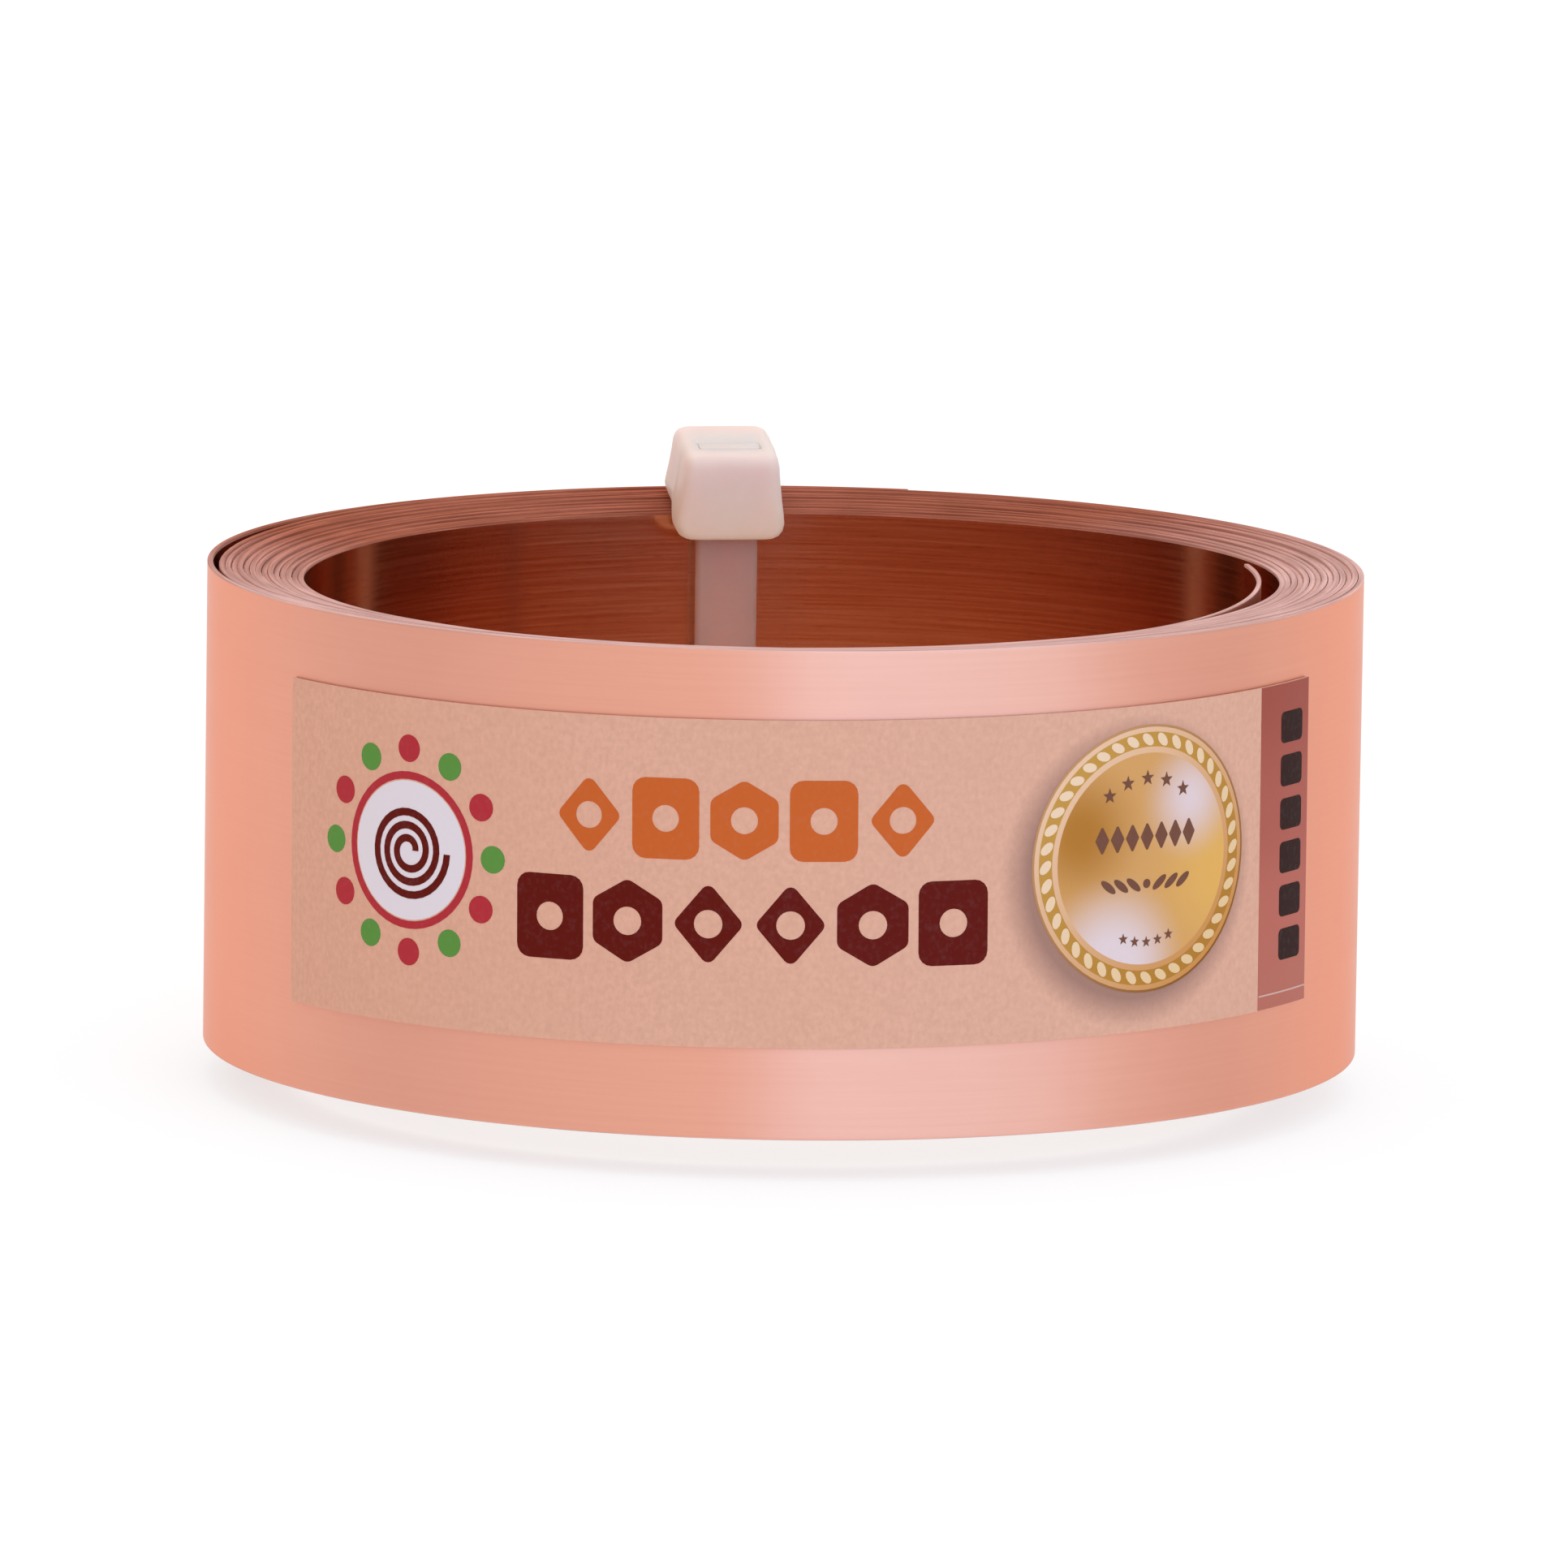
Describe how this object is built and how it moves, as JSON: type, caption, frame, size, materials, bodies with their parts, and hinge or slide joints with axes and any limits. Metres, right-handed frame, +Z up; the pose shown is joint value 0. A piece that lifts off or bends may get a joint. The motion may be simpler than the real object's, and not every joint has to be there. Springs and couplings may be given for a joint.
{
  "type": "copper strip roll",
  "caption": "Open ring of thin copper strip wound spirally on itself, with springy free ends, held by a nylon cable tie and carrying a paper label.",
  "frame": {"origin": "middle of the footprint, at the level the roll rests on, which is the underside of the cable tie", "axes": "+Z up along the coil's axis, +Y away from the label towards the cable tie, +X to the right seen from the label side"},
  "size_m": [0.061, 0.0624, 0.0311],
  "materials": {
    "copper_strip": "rolled bright copper, satin",
    "kraft_paper": "matte printed kraft paper",
    "nylon": "natural milky nylon, satin"
  },
  "bodies": {
    "coil": {"strip_coil": "copper_strip", "paper_label": "kraft_paper"},
    "inner_end": {"strip_inner_end": "copper_strip"},
    "outer_end": {"strip_outer_end": "copper_strip"},
    "tie": {"tie_strap": "nylon", "tie_head": "nylon"},
    "pawl": {"tie_pawl": "nylon"}
  },
  "joints": [
    {"name": "inner_end_flex", "type": "hinge", "parent": "coil", "child": "inner_end", "pos_m": [0.01646, -0.02064, 0.02705], "axis": [0, 0, 1], "range_deg": [-0.6, 25], "stiffness_Nm_per_rad": 0.4},
    {"name": "outer_end_lift", "type": "hinge", "parent": "coil", "child": "outer_end", "pos_m": [0.0003, 0.02967, 0.02755], "axis": [0, 0, 1], "range_deg": [0, 20], "stiffness_Nm_per_rad": 1.8},
    {"name": "tie_travel", "type": "hinge", "parent": "coil", "child": "tie", "pos_m": [0.00025, -0.0007, 0], "axis": [0, 0, 1], "range_deg": [0, 105]},
    {"name": "pawl_flex", "type": "hinge", "parent": "tie", "child": "pawl", "pos_m": [-0.00347, 0.0258, 0.02751], "axis": [-0.9903, -0.1392, 0], "range_deg": [0, 12], "stiffness_Nm_per_rad": 0.002}
  ]
}
